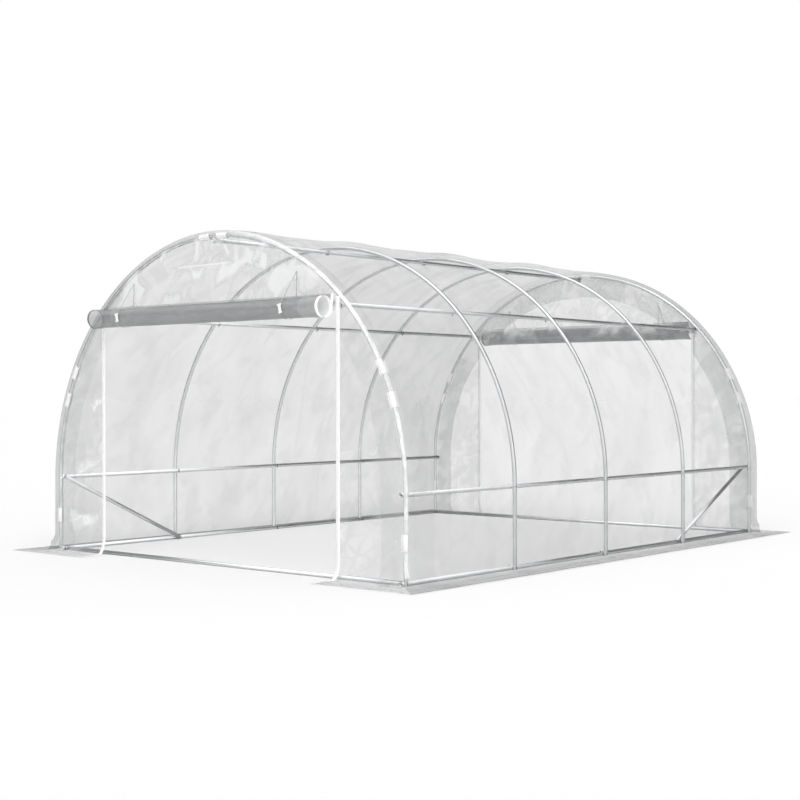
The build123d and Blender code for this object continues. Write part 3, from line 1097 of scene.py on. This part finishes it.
class GREENHOUSE_OT_cover(FrameOperator, bpy.types.Operator):
    """Film cover in one sheet over the hoops, with its side skirts"""

    bl_idname = "greenhouse.cover"
    bl_label = "Cover"

    def execute(self, context):
        film = context.scene.greenhouse_film
        bm, run = cover_mesh(film)
        finish = film_finish(
            "cover_film",
            tuple(film.tint),
            tuple(film.highlight_white),
            film.opacity,
            cells=3.2,
            creased=0.3,
            glow=0.1,
            drawn=hoop_highlights,
            doubled=cover_hems,
        )
        nodes = ["roof_film", "left_side_film", "right_side_film", "left_skirt", "right_skirt"]
        cover = new_piece("tunnel_cover", bm, finish, nodes, 180)
        # A quarter of an oval is about 0.8 of its two half axes together
        flare = 2 * (film.flare_height + film.flare_reach) * 0.8
        width = pi * (ARCH_R + film.wrap) + 2 * (SPRING - film.flare_height) + flare
        width += 2 * (run.reach - film.flare_reach)
        cover.visible_shadow = False
        area = width * (2 * HALF_LENGTH + 0.06)
        flat = (width, 2 * HALF_LENGTH + 0.4)
        return {"FINISHED"}


class GREENHOUSE_OT_end_walls(FrameOperator, bpy.types.Operator):
    """Both end walls, each one sheet round its doorway, doubled along its hoop"""

    bl_idname = "greenhouse.end_walls"
    bl_label = "End walls"

    def execute(self, context):
        film = context.scene.greenhouse_film
        finish = film_finish(
            "end_film",
            tuple(film.end_tint),
            tuple(film.highlight_white),
            film.end_opacity,
            cells=8.0,
            creased=0.8,
            glow=0.24,
            drawn=gather_highlights,
            doubled=wall_hem,
        )
        bands = {}
        for end, opacity in (("front", film.band_opacity), ("back", film.back_opacity)):
            bands[end] = film_finish(
                f"{end}_edge_film",
                tuple(film.tint),
                tuple(film.highlight_white),
                opacity,
                cells=6.0,
                creased=0.4,
                glow=0.1,
            )
        for end, sy in ENDS.items():
            bm = wall_mesh(film, sy)
            nodes = [f"{end}_film_{part}" for part in ("left", "right", "gable")]
            nodes += [f"{end}_skirt_{part}" for part in SIDES]
            wall = new_piece(f"{end}_end_wall", bm, finish, nodes, 180)
            wall.visible_shadow = False
            bm = band_mesh(film, sy)
            nodes = [f"{end}_edge_band"]
            strip = new_piece(f"{end}_edge_film", bm, bands[end], nodes, 180)
            strip.visible_shadow = False
        return {"FINISHED"}


class GREENHOUSE_OT_zips(FrameOperator, bpy.types.Operator):
    """Zip tapes with teeth down both edges of each doorway, and their sliders"""

    bl_idname = "greenhouse.zips"
    bl_label = "Zips"

    def execute(self, context):
        film = context.scene.greenhouse_film
        fittings = context.scene.greenhouse_fittings
        tape = tape_finish(fittings)
        plastic = plastic_finish(fittings)
        for end, sy in ENDS.items():
            for side, sx in SIDES.items():
                path = ZipPath(film, sx, sy)
                bm = tape_mesh(path, fittings.tape)
                nodes = [f"{end}_zips"] if sx < 0 else []
                strip = new_piece(f"{end}_{side}_zip_tape", bm, tape, nodes, 180)
                thick(strip, TAPE_WALL)
                bm = teeth_mesh(path, fittings.tooth)
                teeth = new_piece(f"{end}_{side}_zip_teeth", bm, plastic)
                teeth.parent = strip
                bm = slider_mesh(path)
                slider = new_piece(f"{end}_{side}_zip_slider", bm, plastic)
                slider.parent = strip
        return {"FINISHED"}


class ZipPath:
    """A zip's line at a doorway's edge, from its top down the wall and out over the skirt."""

    def __init__(self, film, side, end):
        self.film = film
        self.side = side
        self.end = end
        self.run = Run(film)
        self.wall = ZIP_TOP - film.flare_height
        self.flare = 0.5 * pi * sqrt((film.flare_height**2 + film.flare_reach**2) / 2)
        self.length = self.wall + self.flare + self.run.reach - film.flare_reach

    def at(self, distance, across=0.0, lift=0.0):
        """Place at a distance down the zip, across it and lifted off the film, and its lean."""
        film = self.film
        if distance < self.wall:
            away, z, lean = 0.0, ZIP_TOP - distance, 0.0
        elif distance < self.wall + self.flare:
            lean = (distance - self.wall) / self.flare * pi / 2
            away = film.flare_reach * (1 - cos(lean))
            z = film.flare_height * (1 - sin(lean))
        else:
            away = film.flare_reach + distance - self.wall - self.flare
            z, lean = GROUND_ZIP, pi / 2
        y = HALF_LENGTH + film.wrap + WALL_GAP * cos(lean) + away
        out = Vector((0, self.end * cos(lean), sin(lean)))
        place = Vector((self.side * DOOR_HALF + across, self.end * y, z))
        return place + out * lift, lean


def tape_mesh(path, width):
    """Flat tape along a zip's line."""
    columns, rows = 4, 120

    def point(column, row):
        across = width * (column / columns - 0.5)
        return path.at(path.length * row / rows, across, TAPE_LIFT)[0], 0.0

    return grid_sheet(columns, rows, point)


def teeth_mesh(path, pitch):
    """Row of moulded teeth along a zip's line."""
    bm = bmesh.new()
    for n in range(int((path.length - 0.01) / pitch)):
        place, lean = path.at(0.005 + n * pitch, 0.0, TEETH_LIFT)
        turn = Matrix.Rotation(-path.end * lean, 4, "X")
        shape = Matrix.Diagonal((0.0075, 0.003, pitch * 0.55, 1))
        bmesh.ops.create_cube(bm, size=1.0, matrix=Matrix.Translation(place) @ turn @ shape)
    return bm


def slider_mesh(path):
    """Slider parked just under the rolled door, with its pull hanging down."""
    place, _ = path.at(ZIP_TOP - (ROLL_HEIGHT - ROLL_R) + 0.035, 0.0, SLIDER_LIFT)
    bm = bmesh.new()
    for centre, box in (
        ((0, 0, 0), (0.013, 0.008, 0.022)),
        ((0, 0.0045, -0.004), (0.005, 0.003, 0.010)),
        ((0, 0.0050, -0.026), (0.007, 0.0016, 0.034)),
    ):
        middle = place + Vector((centre[0], path.end * centre[1], centre[2]))
        matrix = Matrix.Translation(middle) @ Matrix.Diagonal((*box, 1))
        made = bmesh.ops.create_cube(bm, size=1.0, matrix=matrix)
        rounded(bm, made["verts"], 0.0007)
    return bm


class GREENHOUSE_OT_door_rolls(FrameOperator, bpy.types.Operator):
    """Both doors, each rolled up in a loose spiral above its doorway"""

    bl_idname = "greenhouse.door_rolls"
    bl_label = "Rolled doors"

    def execute(self, context):
        film = context.scene.greenhouse_film
        fittings = context.scene.greenhouse_fittings
        finish = roll_finish(film, fittings)
        for end, sy in ENDS.items():
            bm = roll_mesh(fittings, sy)
            nodes = [f"{end}_door_roll"]
            roll = new_piece(f"{end}_rolled_door", bm, finish, nodes, 180)
        return {"FINISHED"}


def roll_mesh(fittings, end):
    """Spiral of film, with its last stretch running up to the gable.

    Its crease layer is 1 on the inmost turn, where the finish paints light in the bore, and 0 on
    the others.
    """
    per_turn = 26
    winds = round(per_turn * fittings.roll_turns)
    tail = 5
    columns = 72
    outer = ROLL_R - 0.0015
    whole = 2 * pi * fittings.roll_turns

    def point(column, row):
        x = ROLL_HALF * (2 * column / columns - 1)
        wound = whole * min(row, winds) / winds
        angle = pi + whole - wound
        radius = fittings.roll_bore + (outer - fittings.roll_bore) * wound / whole
        dents = ripple(x * 2.2, cos(angle) * 0.9, sin(angle) * 0.9 + 5 * end)
        dents += 0.45 * ripple(x * 7.0, cos(angle) * 2.2, sin(angle) * 2.2)
        radius += 0.0026 * (dents - 0.6) + 0.005 * smooth(ROLL_HALF - 0.1, ROLL_HALF, abs(x))
        longer = 0.022 * smooth(0.6, 1.0, -x / ROLL_HALF)
        out = ROLL_OUT + radius * cos(angle)
        z = ROLL_HEIGHT + radius * sin(angle)
        past = max(0, row - winds) / tail
        out += past * (WALL_FACE + 0.002 - out)
        z += past * 0.075
        slip = 0.004 * ripple(wound * 0.8, 3.0 * end, 8.0) * abs(x) / ROLL_HALF
        inmost = 1.0 if row < per_turn else 0.0
        x += slip * (1 if x > 0 else -1) - 0.004 * x - longer
        return Vector((x, end * out, z)), inmost

    return grid_sheet(columns, winds + tail, point)


class GREENHOUSE_OT_ties(FrameOperator, bpy.types.Operator):
    """Ties round the rolled doors: a strap from the gable, and the toggle that closes it"""

    bl_idname = "greenhouse.ties"
    bl_label = "Roll ties"

    def execute(self, context):
        fittings = context.scene.greenhouse_fittings
        webbing = strap_finish(fittings)
        plastic = plastic_finish(fittings)
        for end, sy in ENDS.items():
            for side, sx in SIDES.items():
                nodes = [f"{end}_roll_ties"] if sx < 0 else []
                bm = strap_mesh(fittings, sx * TIE_X, sy)
                strap = new_piece(f"{end}_{side}_strap", bm, webbing, nodes, 180)
                thick(strap, STRAP_WALL)
                bm = toggle_mesh(sx * TIE_X, sy)
                toggle = new_piece(f"{end}_{side}_toggle", bm, plastic)
                toggle.parent = strap
        return {"FINISHED"}


def strap_mesh(fittings, x, end):
    """Loop of strap from the gable over the front of the roll, under it and back up."""
    radius = ROLL_R + 0.0022
    top = Vector((WALL_FACE + 0.003 - ROLL_OUT, TIE_TOP - ROLL_HEIGHT))
    spread = acos(radius / top.length)
    first = atan2(top.y, top.x) - spread
    turn = 2 * (pi - spread)
    steps = 40
    angles = [first - turn * n / steps for n in range(steps + 1)]
    loop = [Vector((cos(angle), sin(angle))) * radius for angle in angles]
    loop = [top, top.lerp(loop[0], 0.5), *loop, loop[-1].lerp(top, 0.5), top]

    def point(column, row):
        out, up = loop[row]
        across = fittings.strap * (column / 2 - 0.5)
        return Vector((x + across, end * (ROLL_OUT + out), ROLL_HEIGHT + up)), 0.0

    return grid_sheet(2, len(loop) - 1, point)


def toggle_mesh(x, end):
    """Flat toggle with a bar across each end, lying a little aslant on the front of the roll."""
    bm = bmesh.new()
    place = Matrix.Translation((x, end * (ROLL_OUT + ROLL_R + 0.006), ROLL_HEIGHT - 0.004))
    place = place @ Matrix.Rotation(end * radians(12), 4, "Y")
    for up, box in (
        (0.0, (0.022, 0.004, 0.050)),
        (0.023, (0.031, 0.006, 0.010)),
        (-0.022, (0.027, 0.006, 0.009)),
    ):
        matrix = place @ Matrix.Translation((0, 0, up)) @ Matrix.Diagonal((*box, 1))
        made = bmesh.ops.create_cube(bm, size=1.0, matrix=matrix)
        rounded(bm, made["verts"], 0.0014)
    return bm


class GREENHOUSE_OT_clips(FrameOperator, bpy.types.Operator):
    """White snap clips that hold the film on the end hoops"""

    bl_idname = "greenhouse.clips"
    bl_label = "Clips"

    def execute(self, context):
        fittings = context.scene.greenhouse_fittings
        finish = plastic_finish(fittings)
        for end, sy in ENDS.items():
            bm = bmesh.new()
            y = sy * HALF_LENGTH
            for angle in CLIP_ANGLES:
                for middle in (angle, 180 - angle):
                    arch_clip(bm, y, middle)
            for sx in SIDES.values():
                leg_clip(bm, y, sx)
            bmesh.ops.recalc_face_normals(bm, faces=bm.faces)
            clips = new_piece(f"{end}_snap_clips", bm, finish, [f"{end}_clips"], 40)
            thick(clips, fittings.clip_wall)
            edge = clips.modifiers.new("edge", "BEVEL")
            edge.width = 0.0009
            edge.segments = 2
            edge.limit_method = "ANGLE"
        return {"FINISHED"}


def clip_outline(bm, place):
    """C of a clip round a tube, with turned-out lips, in the local XY plane: its first point."""
    radius = TUBE_R + 0.005
    gap = radians(28)
    first = bm.verts.new(place @ Vector((-radius * cos(gap), radius * sin(gap), 0)))
    centre = place @ Vector((0, 0, 0))
    axis = place.to_3x3() @ Vector((0, 0, -1))
    made = bmesh.ops.spin(bm, geom=[first], cent=centre, axis=axis, angle=2 * (pi - gap), steps=16)
    last = [item for item in made["geom_last"] if isinstance(item, bmesh.types.BMVert)][0]
    for vert, side in ((first, 1), (last, -1)):
        lip = bmesh.ops.extrude_vert_indiv(bm, verts=[vert])["verts"]
        bmesh.ops.translate(bm, verts=lip, vec=place.to_3x3() @ Vector((-0.0035, side * 0.0025, 0)))
    return first


def linked(vert):
    """Every point joined to this one by edges, always in the same order."""
    found = [vert]
    for point in found:
        for edge in point.link_edges:
            other = edge.other_vert(point)
            if other not in found:
                found.append(other)
    return found


def arch_clip(bm, y, angle):
    """A clip bent to the hoop at an angle above the right spring line."""
    sweep = CLIP_LENGTH / ARCH_R
    verts = linked(clip_outline(bm, arch_place(y, angle - degrees(sweep) / 2)))
    bmesh.ops.spin(
        bm,
        geom=verts + edges_of(verts),
        cent=(0, y, SPRING),
        axis=(0, -1, 0),
        angle=sweep,
        steps=5,
        use_duplicate=False,
    )


def leg_clip(bm, y, side):
    """A straight clip on a hoop's leg."""
    start = Vector((side * ARCH_R, y, CLIP_LEG_HEIGHT - CLIP_LENGTH / 2))
    place = Matrix.Translation(start) @ Matrix.Rotation(0 if side > 0 else pi, 4, "Z")
    verts = linked(clip_outline(bm, place))
    pushed(bm, verts, Vector((0, 0, CLIP_LENGTH)))


class GREENHOUSE_OT_stage(FrameOperator, bpy.types.Operator):
    """Pale floor, even studio light and the camera"""

    bl_idname = "greenhouse.stage"
    bl_label = "Stage"

    def execute(self, context):
        scene = context.scene
        stage = scene.greenhouse_stage
        bm = bmesh.new()
        bmesh.ops.create_circle(bm, cap_ends=True, segments=64, radius=FLOOR_RADIUS)
        mesh = bpy.data.meshes.new("floor")
        bm.to_mesh(mesh)
        bm.free()
        mesh.materials.append(floor_finish(stage))
        floor = bpy.data.objects.new("floor", mesh)
        floor.location.z = -FLOOR_DROP
        scene.collection.objects.link(floor)

        scene.world = bpy.data.worlds.new("studio")
        studio_world(stage, scene.world)
        for name, strength, spread, towards, mirrored in (
            ("key", stage.key, stage.spread, (0.5, -0.62, 0.45), False),
            ("top", stage.top, stage.spread, (0.1, 0.1, 1.0), False),
            ("panel", stage.panel, stage.panel_spread, (0.64, -0.77, 0.15), True),
            ("ceiling", stage.ceiling, stage.spread, (-0.35, -0.2, 0.9), True),
        ):
            lamp = bpy.data.lights.new(name, "SUN")
            lamp.energy = strength
            lamp.angle = spread
            light = bpy.data.objects.new(name, lamp)
            light.rotation_euler = Vector(towards).to_track_quat("Z", "Y").to_euler()
            light.visible_diffuse = not mirrored
            light.visible_glossy = mirrored
            scene.collection.objects.link(light)

        camera = bpy.data.objects.new("camera", bpy.data.cameras.new("camera"))
        camera.data.lens = stage.lens
        camera.data.clip_end = 1000.0
        camera.location = stage.eye
        camera.rotation_euler = (pi / 2 - CAMERA_DIP, CAMERA_ROLL, stage.turn)
        scene.collection.objects.link(camera)
        scene.camera = camera
        scene.view_settings.view_transform = "Standard"
        scene.cycles.transparent_max_bounces = 32
        return {"FINISHED"}


def rays(finish, kind):
    """1 on light rays of one kind, and 0 on the others."""
    return finish.node("ShaderNodeLightPath", {}, {}, f"Is {kind} Ray")


def floor_finish(stage):
    """White floor that still takes the object's shadow."""
    floor = Finish("floor_white")
    lit = floor.node("ShaderNodeBsdfDiffuse", {}, {"Color": (stage.floor,) * 3 + (1.0,)})
    seen = rays(floor, "Camera").most(rays(floor, "Transmission"))
    glow = {"Color": (1, 1, 1, 1), "Strength": seen * stage.lift}
    lift = floor.node("ShaderNodeEmission", {}, glow)
    both = floor.node("ShaderNodeAddShader", {}, {0: lit, 1: lift})
    floor.node("ShaderNodeOutputMaterial", {}, {"Surface": both})
    return floor.owner


def studio_world(stage, world):
    """Even light from all round, white where it is seen and dim where metal mirrors it."""
    sky = Finish("studio", world)
    seen = rays(sky, "Camera").most(rays(sky, "Transmission"))
    mirrored = rays(sky, "Glossy")
    level = seen * (1.0 - stage.sky) + mirrored * (stage.gloss - stage.sky) + stage.sky
    background = sky.node("ShaderNodeBackground", {}, {"Color": (1, 1, 1, 1), "Strength": level})
    sky.node("ShaderNodeOutputWorld", {}, {"Surface": background})


SETTINGS = {
    "greenhouse_tubes": TubeSettings,
    "greenhouse_film": FilmSettings,
    "greenhouse_fittings": FittingSettings,
    "greenhouse_stage": StageSettings,
}
OPERATORS = (
    GREENHOUSE_OT_hoops,
    GREENHOUSE_OT_rails,
    GREENHOUSE_OT_bolts,
    GREENHOUSE_OT_cover,
    GREENHOUSE_OT_end_walls,
    GREENHOUSE_OT_zips,
    GREENHOUSE_OT_door_rolls,
    GREENHOUSE_OT_ties,
    GREENHOUSE_OT_clips,
    GREENHOUSE_OT_stage,
)


class GREENHOUSE_PT_panel(bpy.types.Panel):
    """Settings and operators of the greenhouse"""

    bl_label = "Tunnel Greenhouse"
    bl_idname = "GREENHOUSE_PT_panel"
    bl_space_type = "VIEW_3D"
    bl_region_type = "UI"
    bl_category = "Greenhouse"

    def draw(self, context):
        for name, group in SETTINGS.items():
            box = self.layout.box()
            box.label(text=group.__doc__)
            for key in group.__annotations__:
                box.prop(getattr(context.scene, name), key)
        for operator in OPERATORS:
            self.layout.operator(operator.bl_idname)


CLASSES = (*SETTINGS.values(), *OPERATORS, GREENHOUSE_PT_panel)


def register():
    """Registers the classes and puts their settings on the scene."""
    for cls in CLASSES:
        bpy.utils.register_class(cls)
    for name, group in SETTINGS.items():
        setattr(bpy.types.Scene, name, PointerProperty(type=group))


def unregister():
    """Takes the settings and the classes away again."""
    for name in SETTINGS:
        delattr(bpy.types.Scene, name)
    for cls in reversed(CLASSES):
        bpy.utils.unregister_class(cls)


def main():
    """Builds every piece and the stage."""
    register()
    for operator in OPERATORS:
        group, name = operator.bl_idname.split(".")
        getattr(getattr(bpy.ops, group), name)()


if __name__ == "__main__":
    main()
